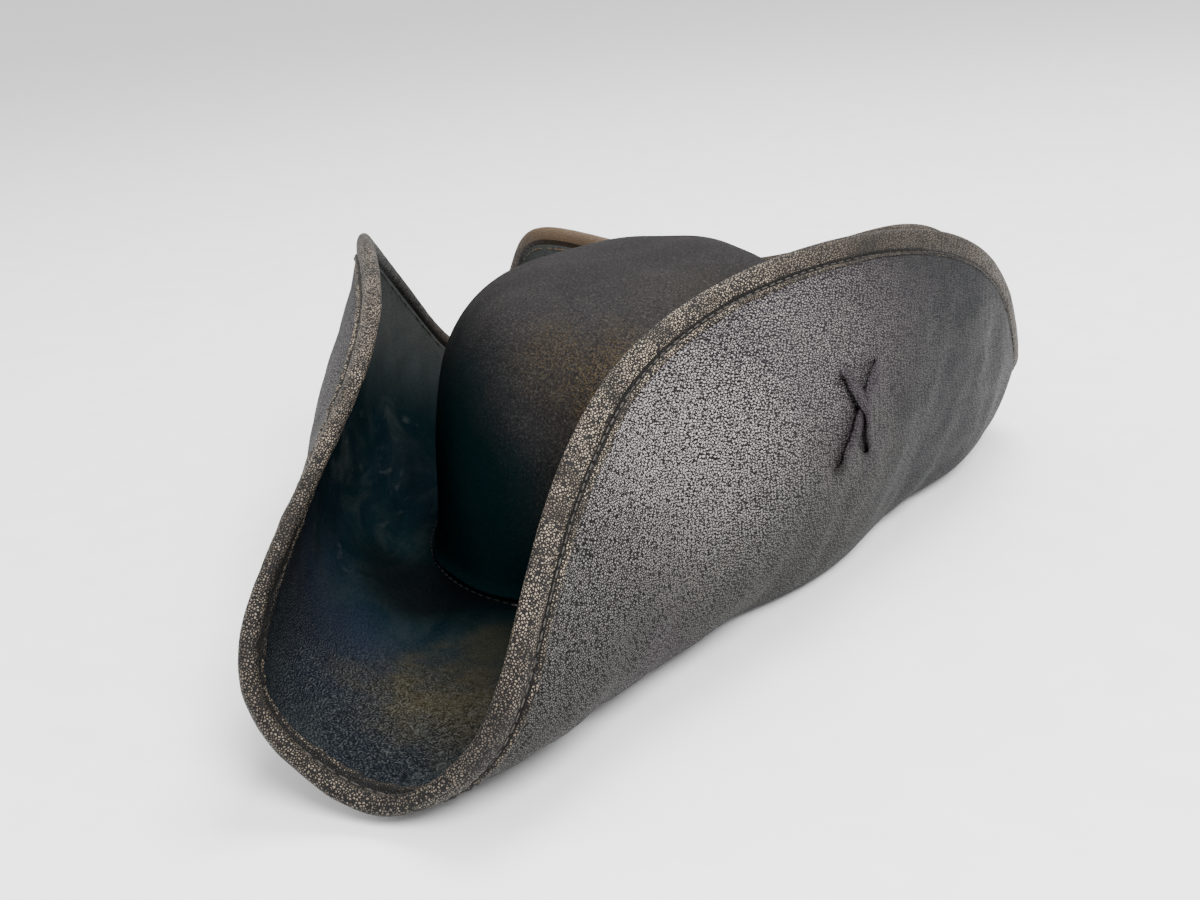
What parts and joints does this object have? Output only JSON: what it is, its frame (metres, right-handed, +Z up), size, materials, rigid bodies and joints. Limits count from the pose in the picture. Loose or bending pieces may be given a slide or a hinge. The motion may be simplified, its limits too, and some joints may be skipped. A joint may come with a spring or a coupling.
{
  "type": "tricorn pirate hat",
  "caption": "Soft adult tricorn hat: domed crown, wide brim turned up in three flaps with a hemmed edge and crossed lacing on each flap.",
  "frame": {"origin": "middle of the overall box at the height of the surface the hat lies on", "axes": "-Y is the front spout, +X the wearer's left, +Z up through the crown"},
  "size_m": [0.303, 0.4178, 0.1325],
  "materials": {
    "brim_underside": "worn, fine ripple grain, matt",
    "brim_upper": "dark suede look, matt, cloudy",
    "brim_core": "stiff felt, not seen",
    "hem_binding": "rubbed brown grey, pebbled",
    "brim_edge_wire": "plain wire, not seen",
    "thread": "dark twisted thread",
    "crown_cover": "dark suede look with a rubbed brown patch",
    "crown_stiffener": "stiff cloth, not seen",
    "crown_lining": "thin black lining",
    "sweatband": "smooth black band",
    "lacing": "same cloth as the brim's outer face"
  },
  "bodies": {
    "root": {"crown_cover": "crown_cover", "crown_stiffener": "crown_stiffener", "crown_lining": "crown_lining", "sweatband": "sweatband", "sweatband_stitch": "thread", "crown_seam_stitch": "thread", "brim_underside": "brim_underside", "brim_core": "brim_core", "brim_upper": "brim_upper", "brim_edge_wire": "brim_edge_wire", "hem_binding": "hem_binding", "hem_stitch_outer": "thread", "hem_stitch_inner": "thread", "lace_left_over": "lacing", "lace_left_under": "lacing", "lace_right_over": "lacing", "lace_right_under": "lacing", "lace_back_over": "lacing", "lace_back_under": "lacing"}
  },
  "joints": []
}
